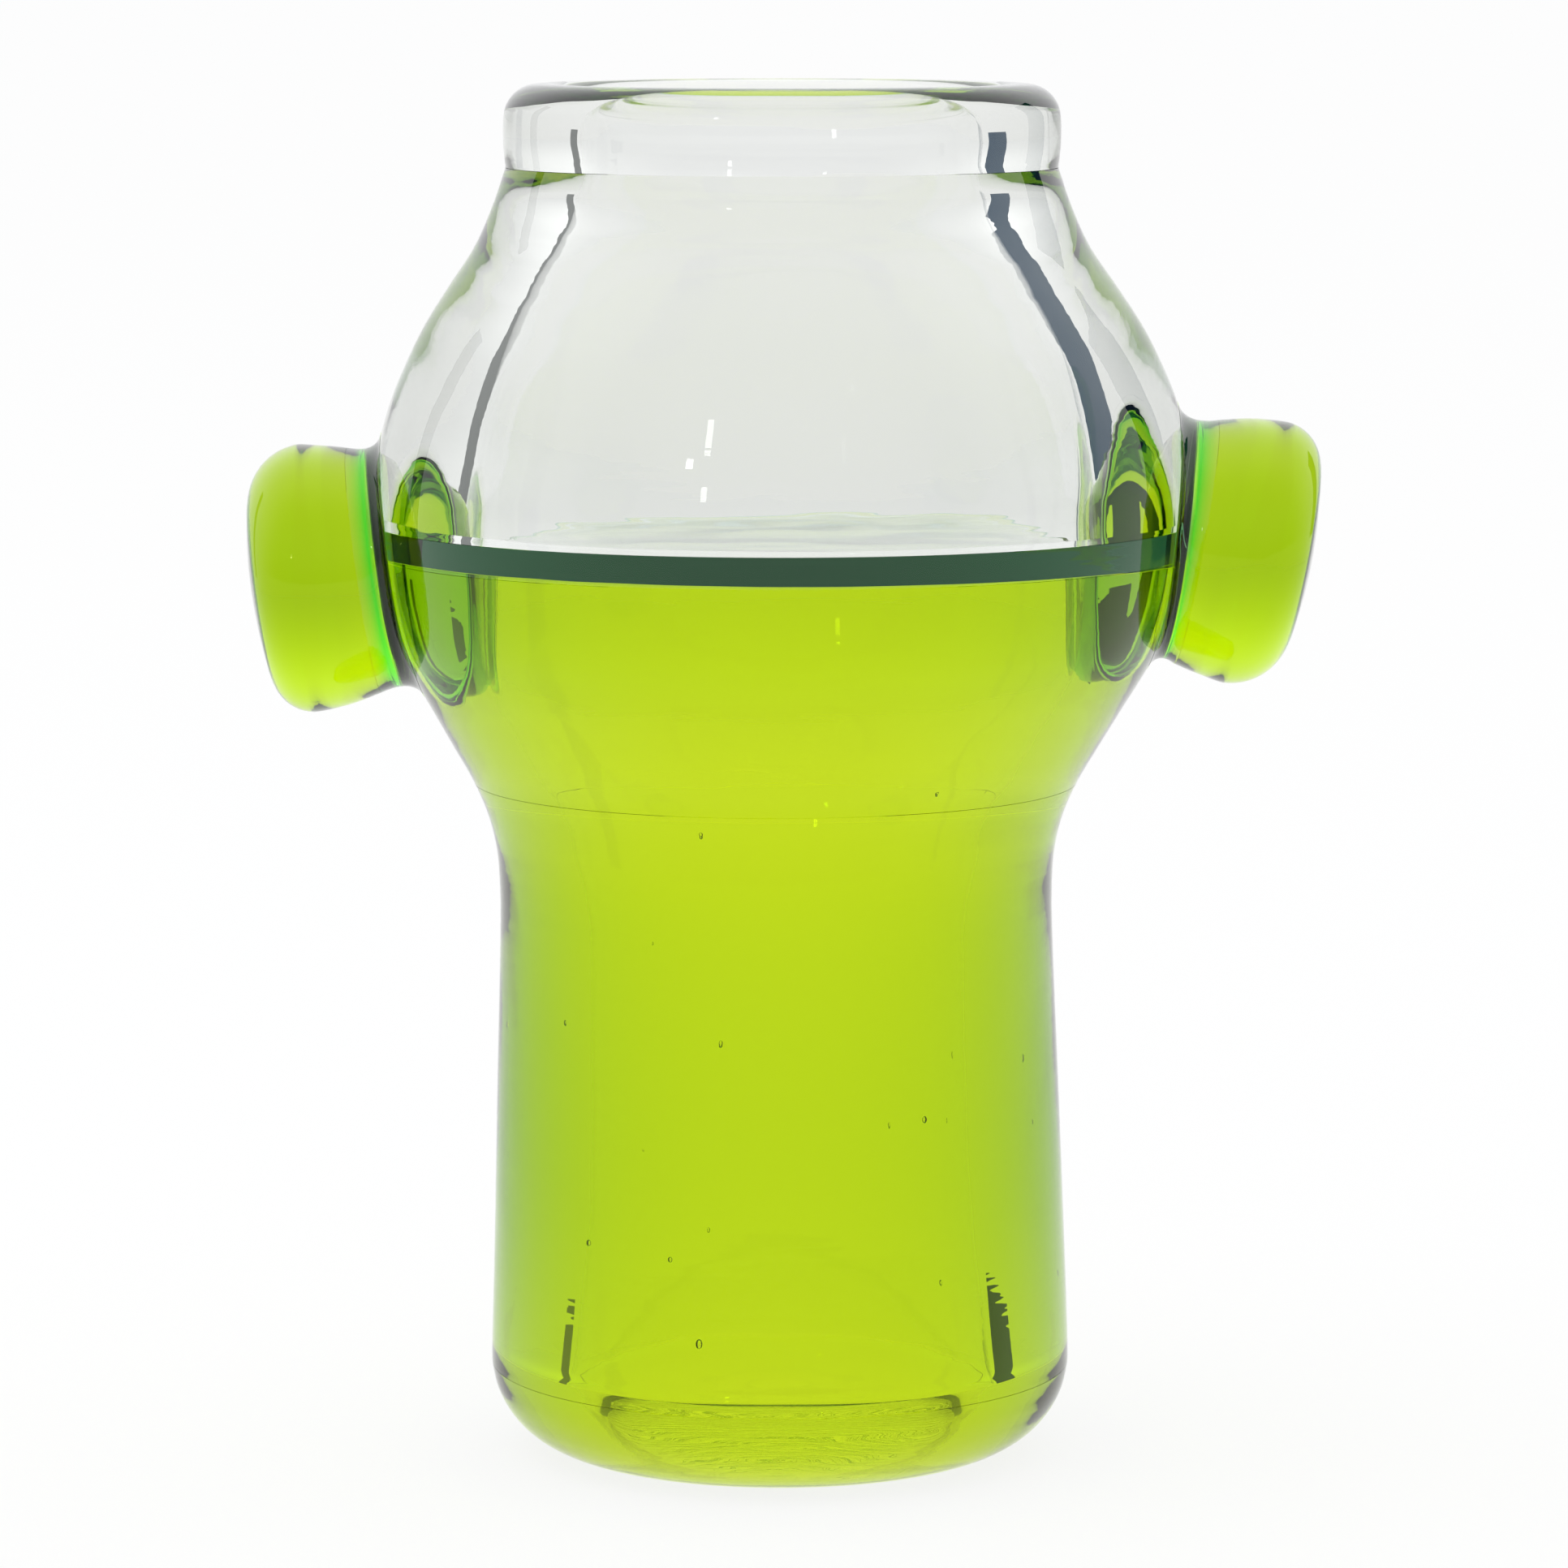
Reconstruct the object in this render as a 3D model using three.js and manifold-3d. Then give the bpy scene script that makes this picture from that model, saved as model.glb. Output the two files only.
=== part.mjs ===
// A small hand-worked glass vessel: a thick clear cup on a hollow lime green belly and stem. A dark glass
// disc between them is the cup's floor, and a drooping glass button is welded to each side.
// Millimetres, +Z up. The origin is the middle of the ground foot, and the buttons lie along X.
import * as THREE from 'three';
import { mergeVertices } from 'three/addons/utils/BufferGeometryUtils.js';
import Module from 'manifold-3d';

const wasm = await Module();
wasm.setup();

// ---- Driving dimensions ----
const height = 80;            // foot to the top of the lip
const plugTop = 5.1;          // the base plug is fused to the stem here
const plugFloor = 1.6;        // thinnest glass at the bottom of the stem's hollow
const plugDishRound = 3.5;    // rounding between the hollow's side and its floor
const stemStraightTop = 30;   // the stem runs nearly straight up to here, then bends outwards
const stemBend = [33, 35.5, 37.5];
const stemTop = 39.5;         // the stem gather meets the belly gather
const seamBottom = 52.9;
const seamTop = 54.7;
const lipBottom = 75.2;       // the crease under the rolled lip

const heelRadius = 5.7;       // rounding between the side and the ground foot
const lipOuterRound = 2;
const lipInnerRound = 1.5;
const lipBulge = 0.13;        // how far the lip's side stands out past its crease
const lipBulgeRise = 1.2;     // height of that widest point above the crease
const lipThroat = 0.14;       // how far the lip's bore swells inwards
const lipThroatRise = 1.7;

// The outer wall and the hollows, as [height, radius] stations that a smooth curve runs through.
const wallStations = [
  [0, 17.1], [heelRadius, 17], [18.3, 16.6], [31.5, 16.17], [36, 16.4], [stemTop, 17.6], [43.3, 19.8],
  [49, 22.85], [54.7, 23.85], [60.5, 23.2], [66, 20.85], [71, 17.6], [lipBottom, 15.97],
];
const cupStations = [
  [seamTop, 18.35], [58, 17.85], [63.7, 16.2], [68.5, 13.8], [72.7, 11.95], [lipBottom, 11.8],
];
const hollowStations = [
  [plugTop, 12.3], [10, 11.5], [23, 11], [30, 11.1], [36, 11.9], [stemTop, 13.1], [43, 14.9],
  [48, 17.1], [seamBottom, 17.95],
];

const buttonRadius = 7.8;
const buttonEdge = 2.5;       // rounding of the button's outer edge
const buttonCrown = 0.4;      // how far its face bulges
const neckRadius = 7.2;
const neckOut = 24.2;         // where the button's neck meets its collar, from the vessel's axis
const neckSwell = [[0.2, 0.8], [0.45, 2]];   // the neck's widening at distances past the collar
const collarWaist = [-0.3, -0.9];            // the collar's narrowest stretch, behind the neck
const collarFlare = [0.6, -1.8];             // its root on the wall
const collarRoot = 17;        // the collar is cut back from here to the wall
const weldGap = 0.3;
// Each button's reach is from the vessel's axis to its outermost point.
const buttons = [
  { side: 'left', turn: Math.PI, reach: 31, level: 51.8, droop: 8 },
  { side: 'right', turn: 0, reach: 31.3, level: 53.45, droop: 10 },
];

const roundSegments = 48;
const buttonSegments = 32;

// ---- Glass finishes ----
const glass = (color) => new THREE.MeshStandardMaterial({ color, roughness: 0.05, metalness: 0 });
const clearGlass = glass('#e4e3e0');
const limeGlass = glass('#b9d600');
const seamGlass = glass('#2a4f3a');
const collarGlass = glass('#3f7f4c');

// ---- Profiles ----
// The radius at a height, on the smooth curve through the stations.
function radiusOn(stations) {
  const curve = new THREE.SplineCurve(stations.map(([z, r]) => new THREE.Vector2(z, r)));
  return (z) => {
    let low = 0;
    let high = 1;
    for (let step = 0; step < 40; step += 1) {
      const middle = (low + high) / 2;
      if (curve.getPoint(middle).x < z) low = middle;
      else high = middle;
    }
    return curve.getPoint(low).y;
  };
}
const straightWall = radiusOn(wallStations);
const cupRadius = radiusOn(cupStations);
const hollowRadius = radiusOn(hollowStations);

// Below the heel's top the wall curves in, on a quarter round, to the ground foot.
function wallRadius(z) {
  const below = Math.max(heelRadius - z, 0);
  return straightWall(z) - heelRadius + Math.sqrt(heelRadius ** 2 - below ** 2);
}

// Points along a wall at the given heights, and heights spaced evenly from one to another.
const wallPoints = (radiusAt, heights) => heights.map((z) => new THREE.Vector2(radiusAt(z), z));
const evenly = (from, to, steps) =>
  Array.from({ length: steps + 1 }, (_, i) => from + ((to - from) * i) / steps);

// Points on a quarter round about a centre, from one angle to another in degrees.
function arcPoints(centreRadius, centreZ, radius, fromDeg, toDeg, steps) {
  return evenly(fromDeg, toDeg, steps).map((degrees) => {
    const angle = THREE.MathUtils.degToRad(degrees);
    return new THREE.Vector2(centreRadius + radius * Math.cos(angle), centreZ + radius * Math.sin(angle));
  });
}

// Turns a profile of (radius, height) about +Z. It runs anticlockwise: up the outside, down the bore.
function turned(profile, segments, closed) {
  const points = closed ? [...profile, profile[0].clone()] : profile;
  return new THREE.LatheGeometry(points, segments).rotateX(Math.PI / 2);
}

// A stretch of the vessel's wall, with a ring of points at each height.
function wallRing(boreRadius, heights) {
  const outside = wallPoints(wallRadius, heights);
  const bore = wallPoints(boreRadius, heights.toReversed());
  return turned([...outside, ...bore], roundSegments, true);
}

// ---- The vessel, from the mouth down ----
function mouthLip() {
  const crease = wallRadius(lipBottom);
  const bore = cupRadius(lipBottom);
  const widest = crease + lipBulge;
  const profile = [
    new THREE.Vector2(crease, lipBottom),
    new THREE.Vector2(widest, lipBottom + lipBulgeRise),
    ...arcPoints(widest - lipOuterRound, height - lipOuterRound, lipOuterRound, 0, 90, 5),
    ...arcPoints(bore + lipInnerRound, height - lipInnerRound, lipInnerRound, 90, 180, 4),
    new THREE.Vector2(bore - lipThroat, lipBottom + lipThroatRise),
    new THREE.Vector2(bore, lipBottom),
  ];
  return turned(profile, roundSegments, true);
}

function seamDisc() {
  const profile = [
    new THREE.Vector2(0, seamBottom),
    ...wallPoints(wallRadius, [seamBottom, seamTop]),
    new THREE.Vector2(0, seamTop),
  ];
  return turned(profile, roundSegments, false);
}

// Heights up the heel's quarter round, closer together where it is flatter.
function heelHeights(topDegrees, steps) {
  return evenly(0, topDegrees, steps)
    .map((degrees) => heelRadius * (1 - Math.cos(THREE.MathUtils.degToRad(degrees))));
}

function basePlug() {
  const topAngle = THREE.MathUtils.radToDeg(Math.acos(1 - plugTop / heelRadius));
  const dish = arcPoints(hollowRadius(plugTop) - plugDishRound, plugTop, plugDishRound, 0, -90, 5);
  const profile = [
    new THREE.Vector2(0, 0),
    ...wallPoints(wallRadius, heelHeights(topAngle, 6)),
    ...dish,
    new THREE.Vector2(0, plugFloor),
  ];
  return turned(profile, roundSegments, false);
}

// ---- Buttons and their weld collars, made along their own axis ----
// A button's profile is (radius, distance along the axis that leaves the wall). Its top edge, which
// the droop tips outwards, is what reaches furthest.
function buttonSolid(button) {
  const droop = THREE.MathUtils.degToRad(button.droop);
  const tipped = (buttonRadius - buttonEdge) * Math.sin(droop);
  const edgeCentre = (button.reach - neckOut - buttonEdge - tipped) / Math.cos(droop);
  const profile = [
    new THREE.Vector2(0, 0),
    new THREE.Vector2(neckRadius, 0),
    ...neckSwell.map(([wider, along]) => new THREE.Vector2(neckRadius + wider, along)),
    ...arcPoints(buttonRadius - buttonEdge, edgeCentre, buttonEdge, 0, 80, 5),
    new THREE.Vector2(0, edgeCentre + buttonEdge + buttonCrown),
  ];
  return turned(profile, buttonSegments, false);
}

function solid(geometry) {
  const bare = geometry.clone();
  bare.deleteAttribute('normal');
  bare.deleteAttribute('uv');
  const merged = mergeVertices(bare);
  return new wasm.Manifold(new wasm.Mesh({
    numProp: 3,
    vertProperties: merged.attributes.position.array,
    triVerts: new Uint32Array(merged.index.array),
  }));
}

function geometryOf(manifold) {
  const mesh = manifold.getMesh();
  const geometry = new THREE.BufferGeometry();
  geometry.setAttribute('position', new THREE.BufferAttribute(mesh.vertProperties, 3));
  geometry.setIndex(new THREE.BufferAttribute(mesh.triVerts, 1));
  geometry.computeVertexNormals();
  return geometry;
}

// The wall's outside, grown by the weld gap, which the collars are cut back to.
function wallCutter() {
  const outside = wallPoints(wallRadius, evenly(stemTop, lipBottom, 16))
    .map((point) => new THREE.Vector2(point.x + weldGap, point.y));
  const profile = [new THREE.Vector2(0, stemTop), ...outside, new THREE.Vector2(0, lipBottom)];
  return solid(turned(profile, roundSegments, false));
}

// Where a button's axis frame sits on the vessel: the neck plane, turned outwards and drooping.
function neckFrame({ turn, level, droop }) {
  const outward = new THREE.Matrix4().makeRotationY(Math.PI / 2 + THREE.MathUtils.degToRad(droop));
  return new THREE.Matrix4().makeRotationZ(turn)
    .multiply(new THREE.Matrix4().makeTranslation(neckOut, 0, level))
    .multiply(outward);
}

function collarSolid(button, cutter) {
  const back = collarRoot - neckOut;
  const [flare, flareStart] = collarFlare;
  const [waist, waistAlong] = collarWaist;
  const profile = [
    new THREE.Vector2(0, back),
    new THREE.Vector2(neckRadius + flare, back),
    new THREE.Vector2(neckRadius + flare, flareStart),
    new THREE.Vector2(neckRadius + waist, waistAlong),
    new THREE.Vector2(neckRadius, -weldGap),
    new THREE.Vector2(0, -weldGap),
  ];
  const blank = turned(profile, buttonSegments, false).applyMatrix4(neckFrame(button));
  return geometryOf(solid(blank).subtract(cutter));
}

// ---- Assembly ----
const vessel = new THREE.Group();

function add(name, geometry, material) {
  const mesh = new THREE.Mesh(geometry, material);
  mesh.name = name;
  vessel.add(mesh);
}

const heelTop = evenly(plugTop, heelRadius, 1);
const stemHeights = [...heelTop, ...evenly(heelRadius, stemStraightTop, 3).slice(1), ...stemBend, stemTop];

add('mouth_lip', mouthLip(), clearGlass);
add('clear_cup', wallRing(cupRadius, evenly(seamTop, lipBottom, 9)), clearGlass);
add('seam_disc', seamDisc(), seamGlass);
add('green_belly', wallRing(hollowRadius, evenly(stemTop, seamBottom, 6)), limeGlass);
add('green_stem', wallRing(hollowRadius, stemHeights), limeGlass);
add('base_plug', basePlug(), limeGlass);

const cutter = wallCutter();
for (const button of buttons) {
  const disc = buttonSolid(button).applyMatrix4(neckFrame(button));
  add(`${button.side}_button`, disc, limeGlass);
  add(`${button.side}_collar`, collarSolid(button, cutter), collarGlass);
}

export default vessel;
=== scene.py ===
"""Looks for the lugged two-tone glass vessel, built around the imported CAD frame.

Every wall profile is read from the CAD nodes, smoothed and turned again as fine glass. Neighbouring
pieces are fused on the real object, so their joint faces lie a hair apart and don't bend light there.
Lengths are in millimetres until a mesh is made; Blender's own units are metres.
"""

import math
import random

import bpy
import numpy as np
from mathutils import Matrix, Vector, noise


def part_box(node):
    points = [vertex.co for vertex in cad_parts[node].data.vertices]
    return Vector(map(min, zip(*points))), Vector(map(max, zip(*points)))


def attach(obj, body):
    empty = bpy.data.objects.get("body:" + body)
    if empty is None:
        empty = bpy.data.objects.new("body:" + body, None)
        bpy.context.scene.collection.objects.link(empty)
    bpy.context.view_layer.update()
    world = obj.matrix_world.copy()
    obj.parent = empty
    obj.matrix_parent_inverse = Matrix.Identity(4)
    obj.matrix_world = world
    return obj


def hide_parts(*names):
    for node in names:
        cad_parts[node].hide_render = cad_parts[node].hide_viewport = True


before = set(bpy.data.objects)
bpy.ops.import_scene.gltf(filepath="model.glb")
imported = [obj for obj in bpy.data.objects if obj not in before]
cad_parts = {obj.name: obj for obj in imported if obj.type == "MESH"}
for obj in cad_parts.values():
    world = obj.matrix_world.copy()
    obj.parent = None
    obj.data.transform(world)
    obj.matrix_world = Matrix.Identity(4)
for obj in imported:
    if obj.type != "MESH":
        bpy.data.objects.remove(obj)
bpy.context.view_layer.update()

MM = 0.001
SLIT = 0.012            # each fused face draws back this far from the joint plane
ROUND = 256             # steps round the vessel
LUG_ROUND = 128         # steps round a button
FINE = 0.3              # spacing along a smoothed profile
WOBBLE = 0.05           # unevenness of hand-worked walls
TINY = 1e-6             # below this a length is nothing
OUTSIDE = -5.0          # the depth in a collar's root of a point that is under none

BEND = 0.47             # how far the glass's index of refraction stands above air's

# Buttons and their collars. The places and radii are the CAD model's; the crown, the edges and the collars'
# roots are a little fuller, as fire-polished glass is.
BUTTON_RADIUS = 7.8
BUTTON_CROWN = 0.45
NECK_RADIUS = 7.2
NECK_OUT = 24.2
NECK_SWELL = [(0.2, 0.8), (0.45, 2)]    # how much wider it is at distances past the collar
FOOTPRINT = 7.9         # radius of the collar's root on the wall
COLLAR_WAIST = 6.6      # the fillet from the neck to the wall is drawn in towards this radius
LUGS = {
    "left": {"turn": -1, "reach": 31.0, "level": 51.8, "droop": 8, "edge": 2.9, "softer_top": 0.5},
    "right": {"turn": 1, "reach": 31.3, "level": 53.45, "droop": 10, "edge": 2.9, "softer_top": -0.5},
}


# ---- Profiles from the CAD frame ----
def section(node):
    """The node's outline in the half plane y = 0, x >= 0, as (radius, height) points in order.

    It starts at the lowest point that is furthest out, or on the axis, and goes up the outside."""
    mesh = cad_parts[node].data
    spots = {}
    for vertex in mesh.vertices:
        if abs(vertex.co.y) < TINY and vertex.co.x > -TINY:
            spots[vertex.index] = (round(vertex.co.x / MM, 4) + 0.0, round(vertex.co.z / MM, 4))
    links = {spot: set() for spot in spots.values()}
    for edge in mesh.edges:
        first, second = (spots.get(index) for index in edge.vertices)
        if first and second and first != second:
            links[first].add(second)
            links[second].add(first)
    low = min(height for _, height in links)
    reaches_axis = any(radius < TINY for radius, _ in links)
    pick = min if reaches_axis else max
    start = pick(spot for spot in links if spot[1] == low)
    line = [start]
    seen = {start}
    while True:
        onward = [spot for spot in links[line[-1]] if spot not in seen]
        if not onward:
            return line
        if len(line) == 1:
            onward.sort(key=lambda spot: -spot[1])
        line.append(onward[0])
        seen.add(onward[0])


def smooth(points, spacing=FINE):
    """A Catmull-Rom curve through the points, with closely spaced points on it."""
    knots = [Vector(point) for point in points]
    knots = [2 * knots[0] - knots[1], *knots, 2 * knots[-1] - knots[-2]]
    line = []
    for before, start, end, after in zip(knots, knots[1:], knots[2:], knots[3:]):
        gaps = [math.sqrt((b - a).length) for a, b in ((before, start), (start, end), (end, after))]
        leave = (start - before) / gaps[0] - (end - before) / (gaps[0] + gaps[1]) + (end - start) / gaps[1]
        arrive = (end - start) / gaps[1] - (after - start) / (gaps[1] + gaps[2]) + (after - end) / gaps[2]
        leave *= gaps[1]
        arrive *= gaps[1]
        steps = max(1, math.ceil((end - start).length / spacing))
        for step in range(steps):
            t = step / steps
            line.append(
                (2 * t**3 - 3 * t**2 + 1) * start + (t**3 - 2 * t**2 + t) * leave
                + (3 * t**2 - 2 * t**3) * end + (t**3 - t**2) * arrive
            )
    line.append(knots[-2])
    return [tuple(point) for point in line]


def rising(points):
    """Only the points that are higher than the one before, so that a wall reads as radius by height."""
    kept = [points[0]]
    for point in points[1:]:
        if point[1] > kept[-1][1] + 1e-4:
            kept.append(point)
    return kept


SHELL, HOLLOW_WALL, CUP_WALL = 0, 1, 2      # which wall a point lies on, for its unevenness
WALL_NODES = ["base_plug", "green_stem", "green_belly", "seam_disc", "clear_cup"]
LEVELS = {
    name: [round(corner.z / MM, 4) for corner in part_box(name)] for name in [*WALL_NODES, "mouth_lip"]
}


def wall_lines():
    """The outer wall from the foot's edge to the lip, the hollow's wall, and the cup's wall."""
    outer, hollow, cup = [], [], []
    for node in WALL_NODES:
        line = section(node)
        top = [height for _, height in line].index(LEVELS[node][1])
        first = 1 if line[0][0] == 0 else 0
        outer += line[first:top + 1]
        inner = [point for point in line[top + 1:][::-1] if point[0] > 0]
        if node == "clear_cup":
            cup += inner
        elif node != "seam_disc":
            hollow += inner
    return [smooth(rising(line)) for line in (outer, hollow, cup)]


OUTER, HOLLOW, CUP = wall_lines()
FOOT_RADIUS = OUTER[0][0]

# How far the hand-worked vessel's middle strays to the right, at heights from the foot to the lip.
STRAY = smooth([(0, 0), (0, 10), (-0.22, 30), (-0.24, 40), (0.22, 62), (0.1, 72), (0.1, 80)], 1.0)


def radius_at(line, height):
    heights = [point[1] for point in line]
    return float(np.interp(height, heights, [point[0] for point in line]))


def stretch(line, low, high):
    """The part of a wall line from one height to another, with no point crowding either end."""
    clear_of_ends = 0.05
    inside = [point for point in line if low + clear_of_ends < point[1] < high - clear_of_ends]
    return [(radius_at(line, low), low), *inside, (radius_at(line, high), high)]


def unevenness(radius, height, angle, part):
    """How far a hand-worked wall stands off its true round, the same for every piece that meets there.
    It fades towards the axis, so that floors stay closed in their middle."""
    around_scale, height_scale, part_apart, fade_radius = 1.3, 0.055, 7.0, 6
    spot = Vector((
        around_scale * math.cos(angle), around_scale * math.sin(angle),
        height_scale * height + part_apart * part))
    away = WOBBLE * noise.noise(spot) + radius_at(STRAY, height) * math.cos(angle)
    return away * min(1, radius / fade_radius)


# How much of a face's bending of light is taken away: all of it on a fused joint. A little is left on the
# joint between the clear glass and the dark disc, because the two glasses don't match.
FUSED = {"wall": 0.0, "bore": 0.0, "ground": 0.0, "joint": 1.0, "mismatch": 0.96}


# ---- Meshes ----
def lug_frame(lug):
    """The middle of the button's neck, the outward axis and two directions square to it."""
    droop = math.radians(lug["droop"])
    middle = Vector((lug["turn"] * NECK_OUT, 0, lug["level"]))
    outward = Vector((lug["turn"] * math.cos(droop), 0, -math.sin(droop)))
    across = Vector((0, 1, 0))
    up = Vector((lug["turn"] * math.sin(droop), 0, math.cos(droop)))
    return middle, outward, across, up


def under_a_lug(point):
    """How far inside a collar's root a point of the outer wall is, and below 0 outside every root."""
    best = OUTSIDE
    furthest_in, furthest_out = -6, 1
    for lug in LUGS.values():
        middle, outward, _, _ = lug_frame(lug)
        offset = point - middle
        along = offset.dot(outward)
        if furthest_in < along < furthest_out:
            best = max(best, FOOTPRINT - (offset - along * outward).length)
    return best


def glass_object(name, points, faces, fused, roots, material, node, sharp=32):
    """A closed glass piece. fused has 1 for each face that is part of a joint, roots a depth per point."""
    mesh = bpy.data.meshes.new(name)
    mesh.from_pydata([Vector(point) * MM for point in points], [], faces)
    mesh.shade_smooth()
    mesh.set_sharp_from_angle(angle=math.radians(sharp))
    joint = mesh.attributes.new("fused", "FLOAT", "FACE")
    joint.data.foreach_set("value", [float(value) for value in fused])
    root = mesh.attributes.new("root", "FLOAT", "POINT")
    root.data.foreach_set("value", [float(value) for value in roots])
    mesh.materials.append(material)
    piece = bpy.data.objects.new(name, mesh)
    bpy.context.scene.collection.objects.link(piece)
    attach(piece, "root")
    if node:
        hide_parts(node)
    return piece


def turned(name, stretches, material, rooted=False):
    """Turns a closed outline about +Z. Each stretch is (points, part, kind): part is the wall it
    belongs to and kind is a key of FUSED. A stretch ends where the next one starts."""
    outline, kinds = [], []
    for points, part, kind in stretches:
        for point in points[:-1]:
            outline.append((point, part, kind))
            kinds.append(kind)
    last_points, last_part, last_kind = stretches[-1]
    closed = last_points[-1][0] > 0
    if not closed:
        outline.append((last_points[-1], last_part, last_kind))
    points, faces, fused, roots, rings = [], [], [], [], []
    for (radius, height), part, kind in outline:
        if radius < TINY:
            rings.append([len(points)])
            points.append(Vector((0, 0, height)))
            roots.append(OUTSIDE)
            continue
        rings.append(range(len(points), len(points) + ROUND))
        for step in range(ROUND):
            angle = math.tau * step / ROUND
            reach = radius + unevenness(radius, height, angle, part)
            point = Vector((reach * math.cos(angle), reach * math.sin(angle), height))
            points.append(point)
            roots.append(under_a_lug(point) if rooted and part == SHELL else OUTSIDE)
    pairs = list(zip(rings, rings[1:]))
    if closed:
        pairs.append((rings[-1], rings[0]))
    for (low, high), kind in zip(pairs, kinds):
        for step in range(ROUND):
            after = (step + 1) % ROUND
            if len(low) == 1:
                faces.append((low[0], high[after], high[step]))
            elif len(high) == 1:
                faces.append((low[step], low[after], high[0]))
            else:
                faces.append((low[step], low[after], high[after], high[step]))
            fused.append(FUSED[kind])
    return glass_object(name + "_glass", points, faces, fused, roots, material, name)


def wall_ring(name, bore, bore_part, material, rooted=False, below="joint"):
    """A stretch of the vessel's wall between two joint planes."""
    low, high = LEVELS[name][0] + SLIT, LEVELS[name][1] - SLIT
    outside = stretch(OUTER, low, high)
    inside = stretch(bore, low, high)[::-1]
    return turned(name, [
        (outside, SHELL, "wall"),
        ([outside[-1], inside[0]], SHELL, "joint"),
        (inside, bore_part, "bore"),
        ([inside[-1], outside[0]], bore_part, below),
    ], material, rooted)


def mouth_lip(material):
    """The rolled lip: one smooth line from its crease, over the top and down the bore."""
    line = section("mouth_lip")
    line = [(radius, max(height, LEVELS["mouth_lip"][0] + SLIT)) for radius, height in line]
    roll = smooth(line, 0.25)
    return turned("mouth_lip", [
        (roll, SHELL, "wall"),
        ([roll[-1], roll[0]], CUP_WALL, "joint"),
    ], material)


def seam_disc(material):
    low, high = LEVELS["seam_disc"][0] + SLIT, LEVELS["seam_disc"][1] - SLIT
    ceiling, floor = radius_at(HOLLOW, low), radius_at(CUP, high)
    outside = stretch(OUTER, low, high)
    return turned("seam_disc", [
        ([(0, low), (ceiling, low)], HOLLOW_WALL, "bore"),
        ([(ceiling, low), outside[0]], HOLLOW_WALL, "joint"),
        (outside, SHELL, "wall"),
        ([outside[-1], (floor, high)], SHELL, "mismatch"),
        ([(floor, high), (0, high)], CUP_WALL, "bore"),
    ], material, rooted=True)


def base_plug(material):
    top = LEVELS["base_plug"][1] - SLIT
    outside = stretch(OUTER, 0, top)
    dish = stretch(HOLLOW, HOLLOW[0][1], top)[::-1]
    return turned("base_plug", [
        ([(0, 0), (FOOT_RADIUS, 0)], SHELL, "ground"),
        (outside, SHELL, "wall"),
        ([outside[-1], dish[0]], SHELL, "joint"),
        (dish, HOLLOW_WALL, "bore"),
        ([dish[-1], (0, dish[-1][1])], HOLLOW_WALL, "bore"),
    ], material)


def evenly_spaced(line, count):
    """The same number of points for every line, so that rings can be skinned."""
    wanted = np.linspace(0, len(line) - 1, count)
    columns = (np.interp(wanted, range(len(line)), values) for values in zip(*line))
    return [tuple(point) for point in np.array([*columns]).T.tolist()]


def around(count):
    return [math.tau * step / count for step in range(count)]


def on_axis(lug, radius, angle, along):
    """A point at a distance from a button's axis, at an angle from its top, and along it from the neck."""
    middle, outward, across, up = lug_frame(lug)
    return middle + radius * (math.cos(angle) * up + math.sin(angle) * across) + along * outward


def closed_rings(name, rings, joints, material, node, flip):
    """Skins a stack of equal rings, the first and last closed by a point. flip turns every face over, so
    that they point out whichever way the stack runs."""
    points = [point for ring in rings for point in ring]
    starts = np.cumsum([0] + [len(ring) for ring in rings])
    faces, fused = [], []
    for index in range(len(rings) - 1):
        low, high = rings[index], rings[index + 1]
        for step in range(LUG_ROUND):
            after = (step + 1) % LUG_ROUND
            one, two = starts[index], starts[index + 1]
            if len(low) == 1:
                face = (one, two + after, two + step)
            elif len(high) == 1:
                face = (one + step, one + after, two)
            else:
                face = (one + step, one + after, two + after, two + step)
            faces.append(tuple(int(corner) for corner in (face[::-1] if flip else face)))
            fused.append(index in joints)
    return glass_object(name, points, faces, fused, [OUTSIDE] * len(points), material, node)


def button(side, lug, material):
    """A thick round button, its edge softer at the top or the bottom, with a slightly crowned face."""
    droop = math.radians(lug["droop"])
    tipped = (BUTTON_RADIUS - lug["edge"]) * math.sin(droop)
    face = (lug["reach"] - NECK_OUT - lug["edge"] - tipped) / math.cos(droop) + lug["edge"]
    neck = [(NECK_RADIUS, 0), *((NECK_RADIUS + wider, along) for wider, along in NECK_SWELL)]
    rings = [[on_axis(lug, 0, 0, 0)]]
    columns = []
    for angle in around(LUG_ROUND):
        edge = lug["edge"] + lug["softer_top"] * math.cos(angle)
        corner = [
            (BUTTON_RADIUS - edge + edge * math.cos(turn), face - edge + edge * math.sin(turn))
            for turn in (math.radians(degrees) for degrees in range(0, 85, 7))
        ]
        rim_radius, rim_along = corner[-1]
        crown = [
            (rim_radius * share, rim_along + (face + BUTTON_CROWN - rim_along) * (1 - share**2))
            for share in (0.85, 0.7, 0.55, 0.4, 0.25, 0.1)
        ]
        line = smooth([*neck, *corner[:2]], 0.3)
        full = [*evenly_spaced(line, 24), *corner[2:], *crown]
        columns.append([on_axis(lug, radius, angle, along) for radius, along in full])
    rings += [list(ring) for ring in zip(*columns)]
    rings.append([on_axis(lug, 0, 0, face + BUTTON_CROWN)])
    name = f"{side}_button"
    return closed_rings(name + "_glass", rings, {0}, material, name, flip=lug["turn"] > 0)


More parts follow.
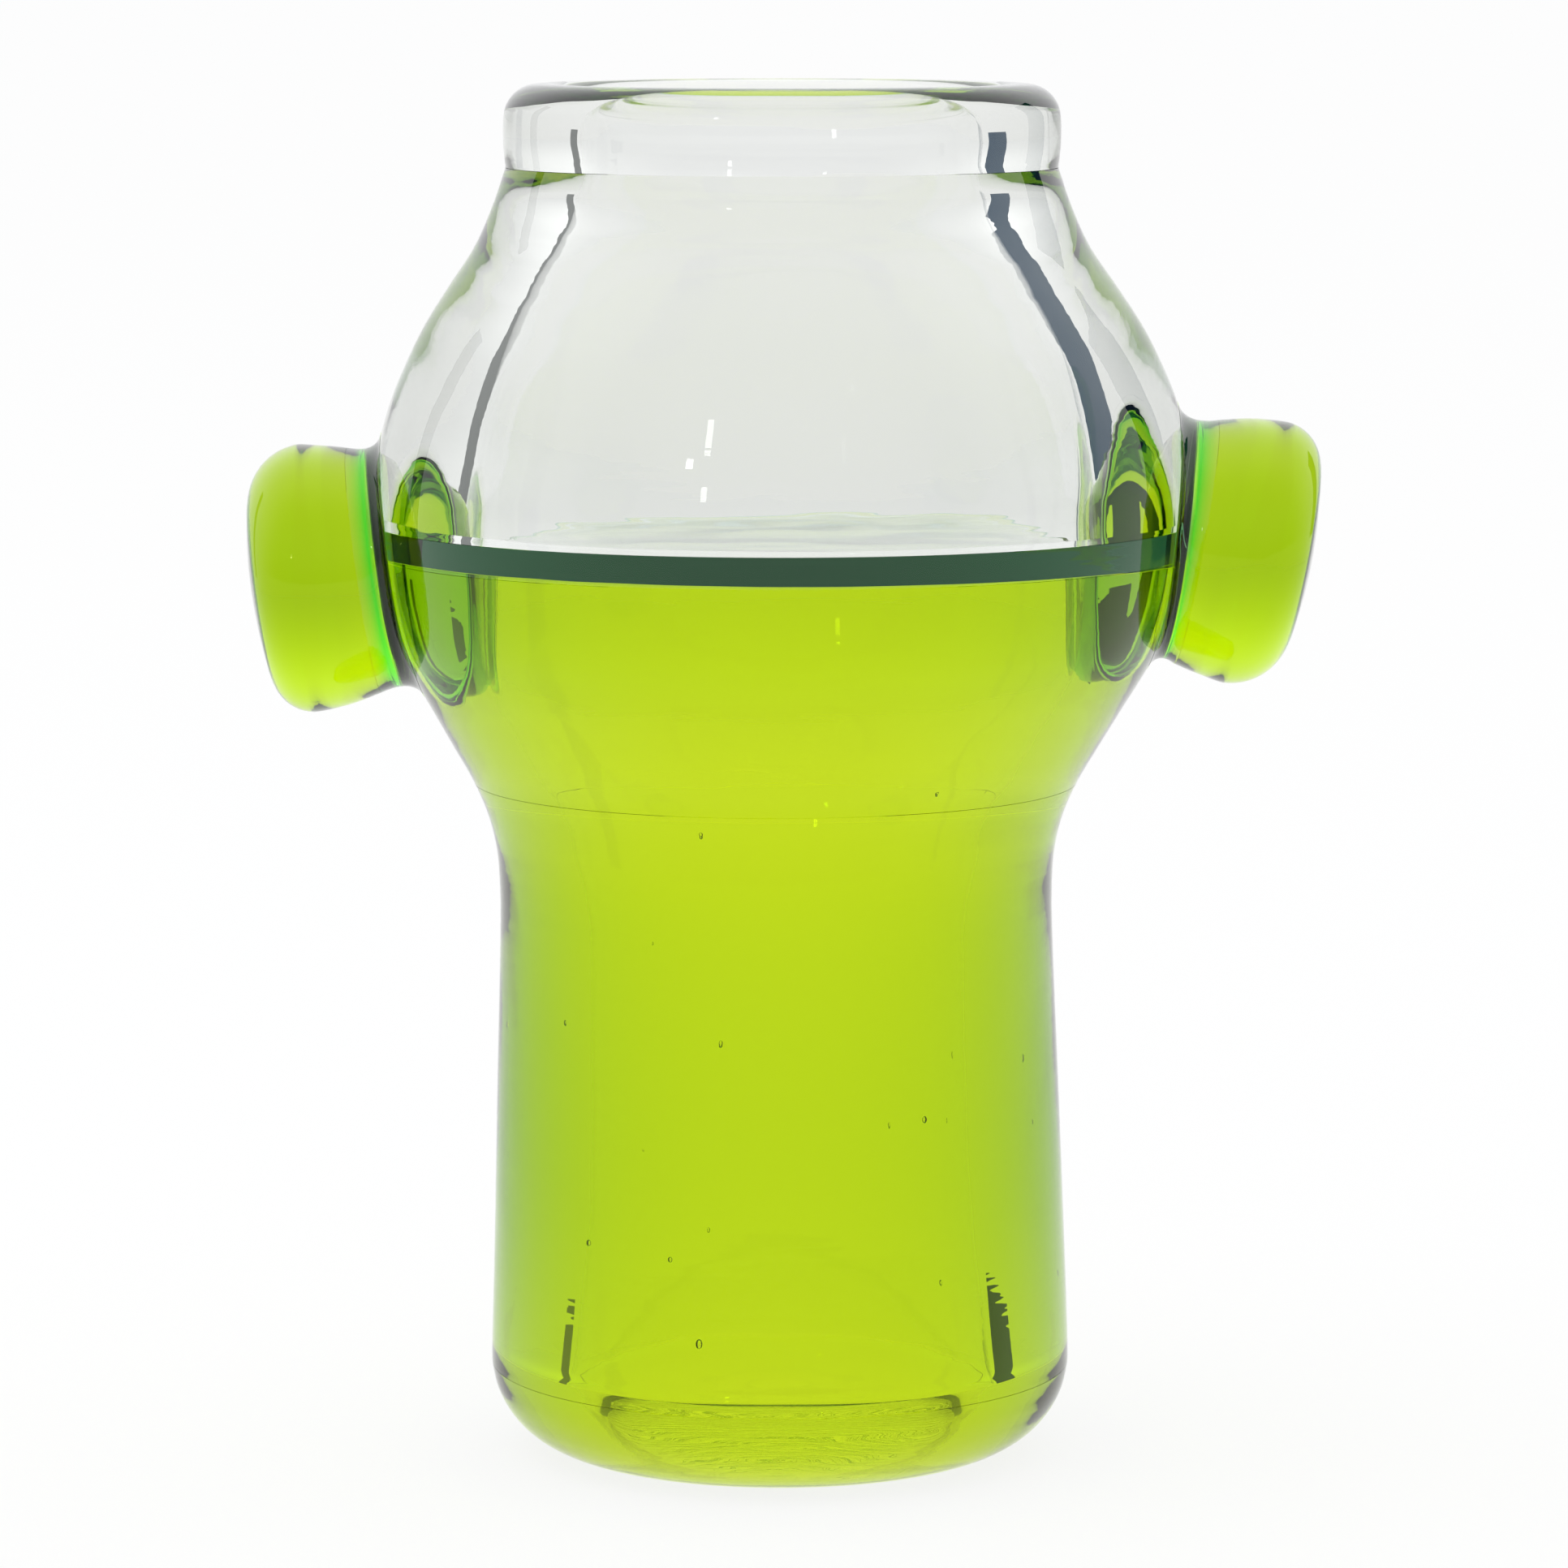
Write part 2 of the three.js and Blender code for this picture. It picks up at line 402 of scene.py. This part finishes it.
def wall_hit(lug, radius, angle):
    """Where a line parallel to the button's axis meets the vessel's outer wall, and its place along it."""
    near, far = -12.0, 3.0
    halvings = 32
    for _ in range(halvings):
        along = (near + far) / 2
        point = on_axis(lug, radius, angle, along)
        round_angle = math.atan2(point.y, point.x)
        wall = radius_at(OUTER, point.z)
        wall += unevenness(wall, point.z, round_angle, SHELL)
        if math.hypot(point.x, point.y) > wall:
            far = along
        else:
            near = along
    return far


def collar(side, lug, material):
    """The weld between button and wall: a fillet from the neck down to its root, and its fused faces."""
    fillet_steps, back_steps = 12, 16
    front = -SLIT
    rings = [[on_axis(lug, 0, 0, front)], []]
    columns = []
    for angle in around(LUG_ROUND):
        rings[1].append(on_axis(lug, NECK_RADIUS, angle, front))
        start = Vector((NECK_RADIUS, front))
        knee = Vector((COLLAR_WAIST, wall_hit(lug, COLLAR_WAIST, angle) + SLIT))
        end = Vector((FOOTPRINT, wall_hit(lug, FOOTPRINT, angle) + SLIT))
        column = []
        for step in range(1, fillet_steps + 1):
            t = step / fillet_steps
            spot = (1 - t) ** 2 * start + 2 * t * (1 - t) * knee + t**2 * end
            column.append(on_axis(lug, spot.x, angle, spot.y))
        for step in range(back_steps - 1, 0, -1):
            radius = FOOTPRINT * step / back_steps
            column.append(on_axis(lug, radius, angle, wall_hit(lug, radius, angle) + SLIT))
        columns.append(column)
    rings += [list(ring) for ring in zip(*columns)]
    rings.append([on_axis(lug, 0, 0, wall_hit(lug, 0, 0) + SLIT)])
    joints = {0, *range(1 + fillet_steps, len(rings))}
    name = f"{side}_collar"
    return closed_rings(name + "_glass", rings, joints, material, name, flip=lug["turn"] < 0)


def wall_spots(chance, count, low, high):
    """Where bubbles lie in the wall of the hollow: their middles, sizes and how far they are drawn out."""
    spots = []
    for _ in range(count):
        height = chance.uniform(low, high)
        angle = chance.uniform(0, math.tau)
        share = chance.uniform(0.3, 0.7)
        radius = radius_at(HOLLOW, height) * (1 - share) + radius_at(OUTER, height) * share
        middle = Vector((radius * math.cos(angle), radius * math.sin(angle), height))
        spots.append((middle, chance.uniform(0.1, 0.2), chance.uniform(1.0, 1.6)))
    return spots


def seeds(name, spots, material):
    """Tiny bubbles caught in the glass, drawn out along the wall."""
    points, faces = [], []
    columns, rows = 16, 9
    for centre, size, tall in spots:
        first = len(points)
        points.append(centre + Vector((0, 0, -size * tall)))
        for row in range(1, rows):
            lift = math.pi * row / rows
            for angle in around(columns):
                flat = size * math.sin(lift)
                points.append(centre + Vector((
                    flat * math.cos(angle), flat * math.sin(angle), -size * tall * math.cos(lift))))
        points.append(centre + Vector((0, 0, size * tall)))
        last = len(points) - 1
        for step in range(columns):
            after = (step + 1) % columns
            faces.append((first, first + 1 + after, first + 1 + step))
            top = last - columns
            faces.append((top + step, top + after, last))
            for row in range(rows - 2):
                low = first + 1 + row * columns
                faces.append((low + step, low + after, low + columns + after, low + columns + step))
    return glass_object(
        name, points, faces, [0] * len(faces), [OUTSIDE] * len(points), material, None, sharp=180)


# ---- Materials ----
def node_maker(material):
    tree = material.node_tree

    def make(kind, inputs=(), **settings):
        node = tree.nodes.new(kind)
        for key, value in settings.items():
            setattr(node, key, value)
        for key, value in dict(inputs).items():
            if isinstance(value, bpy.types.NodeSocket):
                tree.links.new(value, node.inputs[key])
            else:
                node.inputs[key].default_value = value
        return node

    return make


def glass(name, taken, gleam=(1, 1, 1), drawn_scale=(35, 35, 420), ground=False):
    """Tinted glass. taken is how much red, green and blue it absorbs per metre, gleam the tint of its
    reflections, and drawn_scale how fine its drawn cords are along each direction."""
    material = bpy.data.materials.new(name)
    material.use_nodes = True
    tree = material.node_tree
    tree.nodes.clear()
    make = node_maker(material)

    place = make("ShaderNodeTexCoord").outputs["Object"]
    fused = make("ShaderNodeAttribute", attribute_name="fused").outputs["Fac"]
    root = make("ShaderNodeAttribute", attribute_name="root").outputs["Fac"]
    inside_root = make("ShaderNodeMath", {0: root, 1: 0.0}, operation="GREATER_THAN").outputs[0]
    joint = make("ShaderNodeMath", {0: fused, 1: inside_root}, operation="MAXIMUM").outputs[0]
    free = make("ShaderNodeMath", {0: 1.0, 1: joint}, operation="SUBTRACT").outputs[0]
    bend = make("ShaderNodeMath", {0: BEND, 1: free}, operation="MULTIPLY").outputs[0]
    index = make("ShaderNodeMath", {0: 1.0, 1: bend}, operation="ADD").outputs[0]

    # Drawn cords run round the wall, and fire polish leaves a faint long swell.
    drawn = make("ShaderNodeMapping", {"Vector": place, "Scale": drawn_scale}).outputs[0]
    cord = make("ShaderNodeTexNoise", {"Vector": drawn, "Scale": 1.0, "Detail": 3.0}).outputs["Fac"]
    swell = make("ShaderNodeTexNoise", {"Vector": place, "Scale": 110.0, "Detail": 1.0}).outputs["Fac"]
    wear = make("ShaderNodeTexNoise", {"Vector": place, "Scale": 900.0, "Detail": 4.0}).outputs["Fac"]
    cord_bump = make("ShaderNodeBump", {"Height": cord, "Strength": 0.12, "Distance": 0.0002})
    swell_bump = make("ShaderNodeBump", {
        "Height": swell, "Strength": 0.25, "Distance": 0.0003, "Normal": cord_bump.outputs[0]})
    normal = swell_bump.outputs[0]

    # Handling dulls the polish in small patches.
    rough = make("ShaderNodeMapRange", {
        "Value": wear, "From Min": 0.55, "From Max": 0.85, "To Min": 0.0, "To Max": 0.02}).outputs[0]
    if ground:
        # The foot is ground flat, so it is frosted and scratched in one direction.
        foot_top = 0.00003
        height = make("ShaderNodeSeparateXYZ", {0: place}).outputs["Z"]
        foot = make("ShaderNodeMath", {0: height, 1: foot_top}, operation="LESS_THAN").outputs[0]
        turned_place = make("ShaderNodeMapping", {
            "Vector": place, "Rotation": (0, 0, math.radians(35)), "Scale": (400, 3500, 1)}).outputs[0]
        scratch = make("ShaderNodeTexNoise", {
            "Vector": turned_place, "Scale": 1.0, "Detail": 5.0}).outputs["Fac"]
        depth = make("ShaderNodeMath", {0: scratch, 1: foot}, operation="MULTIPLY").outputs[0]
        normal = make("ShaderNodeBump", {
            "Height": depth, "Strength": 0.6, "Distance": 0.0001, "Normal": normal}).outputs[0]
        frost = make("ShaderNodeMapRange", {
            "Value": scratch, "From Min": 0.3, "From Max": 0.7, "To Min": 0.25, "To Max": 0.5}).outputs[0]
        frosted = make("ShaderNodeMath", {0: frost, 1: foot}, operation="MULTIPLY").outputs[0]
        rough = make("ShaderNodeMath", {0: rough, 1: frosted}, operation="MAXIMUM").outputs[0]
    rough = make("ShaderNodeMath", {0: rough, 1: free}, operation="MULTIPLY").outputs[0]

    shader = make("ShaderNodeBsdfPrincipled", {
        "Base Color": (1, 1, 1, 1), "Transmission Weight": 1.0, "IOR": index,
        "Specular Tint": (*gleam, 1), "Roughness": rough, "Normal": normal})
    density = max(taken)
    tint = [1 - amount / density for amount in taken]
    depth_tint = make("ShaderNodeVolumeAbsorption", {"Color": (*tint, 1), "Density": density})
    make("ShaderNodeOutputMaterial", {
        "Surface": shader.outputs[0], "Volume": depth_tint.outputs[0]})
    return material


def bubble_glass():
    """The skin of a bubble: air seen from inside the glass, so its index is turned over."""
    material = bpy.data.materials.new("bubble_skin")
    material.use_nodes = True
    tree = material.node_tree
    tree.nodes.clear()
    make = node_maker(material)
    place = make("ShaderNodeTexCoord").outputs["Object"]
    grain = make("ShaderNodeTexNoise", {"Vector": place, "Scale": 4000.0}).outputs["Fac"]
    rough = make("ShaderNodeMapRange", {"Value": grain, "To Min": 0.0, "To Max": 0.05}).outputs[0]
    shader = make("ShaderNodeBsdfPrincipled", {
        "Base Color": (1, 1, 1, 1), "Transmission Weight": 1.0, "IOR": 1 / (1 + BEND), "Roughness": rough})
    make("ShaderNodeOutputMaterial", {"Surface": shader.outputs[0]})
    return material


# ---- Stage, light and camera ----
def floor():
    """A wide pale floor, a hair below the foot. Like a light table, it gives off most of its own light."""
    size = 40.0
    drop = 0.00004
    corners = [(-size, -size, -drop), (size, -size, -drop), (size, size, -drop), (-size, size, -drop)]
    mesh = bpy.data.meshes.new("floor")
    mesh.from_pydata(corners, [], [(0, 1, 2, 3)])
    material = bpy.data.materials.new("pale_floor")
    material.use_nodes = True
    shader = material.node_tree.nodes["Principled BSDF"]
    shader.inputs["Base Color"].default_value = (0.11, 0.11, 0.11, 1)
    shader.inputs["Emission Color"].default_value = (1, 1, 1, 1)
    shader.inputs["Emission Strength"].default_value = 0.85
    shader.inputs["Roughness"].default_value = 0.9
    shader.inputs["Specular IOR Level"].default_value = 0.0
    mesh.materials.append(material)
    plane = bpy.data.objects.new("floor", mesh)
    bpy.context.scene.collection.objects.link(plane)


def studio_world():
    """A pale surround, brighter overhead and darker towards the camera's side."""
    world = bpy.data.worlds.new("studio")
    bpy.context.scene.world = world
    world.use_nodes = True
    tree = world.node_tree
    tree.nodes.clear()
    make = node_maker(world)
    direction = make("ShaderNodeTexCoord").outputs["Generated"]
    parts = make("ShaderNodeSeparateXYZ", {0: direction}).outputs
    sky = make("ShaderNodeMapRange", {
        "Value": parts["Z"], "From Min": -0.1, "From Max": 0.6, "To Min": 0.95, "To Max": 1.45},
        interpolation_type="SMOOTHSTEP").outputs[0]
    behind = make("ShaderNodeMapRange", {
        "Value": parts["Y"], "From Min": -0.6, "From Max": 0.1, "To Min": 0.6, "To Max": 1.0},
        interpolation_type="SMOOTHSTEP").outputs[0]
    level = make("ShaderNodeMath", {0: sky, 1: behind}, operation="MULTIPLY").outputs[0]
    light = make("ShaderNodeBackground", {"Color": (0.985, 0.99, 1.0, 1), "Strength": level})
    make("ShaderNodeOutputWorld", {"Surface": light.outputs[0]})


def softbox(name, place, target, size, power, mirrored=True):
    """A rectangular light. One that isn't mirrored doesn't show in glass, only on what it lights."""
    data = bpy.data.lights.new(name, "AREA")
    data.shape = "RECTANGLE"
    data.size, data.size_y = size
    data.energy = power
    lamp = bpy.data.objects.new(name, data)
    lamp.location = place
    lamp.rotation_mode = "QUATERNION"
    lamp.rotation_quaternion = (Vector(target) - Vector(place)).to_track_quat("-Z", "Y")
    bpy.context.scene.collection.objects.link(lamp)
    lamp.visible_glossy = mirrored
    lamp.visible_transmission = mirrored


def card(name, bearing, away, size, colour):
    """A dark card standing beside the set, out of the camera's sight. It gives clear glass a dark line.
    Its bearing is in degrees from +Y towards +X."""
    wide, tall = size
    side = wide / 2
    corners = [(-side, 0, 0), (side, 0, 0), (side, 0, tall), (-side, 0, tall)]
    mesh = bpy.data.meshes.new(name)
    mesh.from_pydata(corners, [], [(0, 1, 2, 3)])
    material = bpy.data.materials.new(name)
    material.use_nodes = True
    shader = material.node_tree.nodes["Principled BSDF"]
    shader.inputs["Base Color"].default_value = (*colour, 1)
    shader.inputs["Roughness"].default_value = 1.0
    mesh.materials.append(material)
    turn = math.radians(bearing)
    flag = bpy.data.objects.new(name, mesh)
    flag.location = (away * math.sin(turn), away * math.cos(turn), 0)
    flag.rotation_euler = (0, 0, -turn)
    bpy.context.scene.collection.objects.link(flag)
    flag.visible_camera = False
    flag.visible_diffuse = False
    flag.visible_shadow = False


def camera():
    """A long lens nearly level with the rim, tipped down a little, as in the reference view."""
    data = bpy.data.cameras.new("camera")
    data.lens = 154.3
    data.sensor_width = 36
    data.clip_start = 0.01
    data.clip_end = 100
    eye = bpy.data.objects.new("camera", data)
    eye.location = (0.00023, -0.390, 0.0883)
    eye.rotation_euler = (math.radians(90 - 7.17), 0, 0)
    bpy.context.scene.collection.objects.link(eye)
    bpy.context.scene.camera = eye


def render_settings():
    scene = bpy.context.scene
    scene.view_settings.view_transform = "Standard"
    cycles = scene.cycles
    cycles.max_bounces = 32
    cycles.transmission_bounces = 32
    cycles.glossy_bounces = 16
    cycles.transparent_max_bounces = 16
    cycles.diffuse_bounces = 3
    cycles.volume_bounces = 0
    cycles.sample_clamp_indirect = 8.0
    cycles.blur_glossy = 0.0


camera()
floor()
studio_world()
softbox("soft_top", (-0.3, -0.2, 0.9), (0, 0, 0.04), (0.8, 0.8), 2.0, mirrored=False)
softbox("glint_strip", (-0.35, -0.7, 0.35), (0, 0, 0.05), (0.03, 0.05), 0.05)
card("blue_card", 52, 0.5, (0.13, 0.3), (0.02, 0.06, 0.11))
card("grey_card", -58, 0.5, (0.05, 0.3), (0.2, 0.21, 0.21))
render_settings()

LIME_TAKES = (68, 37, 700)
LIME_GLEAM = (1, 1, 0.35)
clear = glass("clear_glass", (20, 18.5, 21))
lime = glass("lime_glass", LIME_TAKES, LIME_GLEAM)
lime_foot = glass("lime_ground_foot", LIME_TAKES, LIME_GLEAM, ground=True)
lime_button = glass("lime_button_glass", LIME_TAKES, LIME_GLEAM, drawn_scale=(420, 35, 35))
seam = glass("seam_glass", (112, 63, 88))
weld = glass("collar_glass", (200, 34, 600), drawn_scale=(420, 35, 35))

mouth_lip(clear)
wall_ring("clear_cup", CUP, CUP_WALL, clear, rooted=True, below="mismatch")
seam_disc(seam)
wall_ring("green_belly", HOLLOW, HOLLOW_WALL, lime, rooted=True)
wall_ring("green_stem", HOLLOW, HOLLOW_WALL, lime)
base_plug(lime_foot)
for side, lug in LUGS.items():
    button(side, lug, lime_button)
    collar(side, lug, weld)

chance = random.Random(7)
seeds("stem_seeds", wall_spots(chance, 16, 7, 39), bubble_glass())
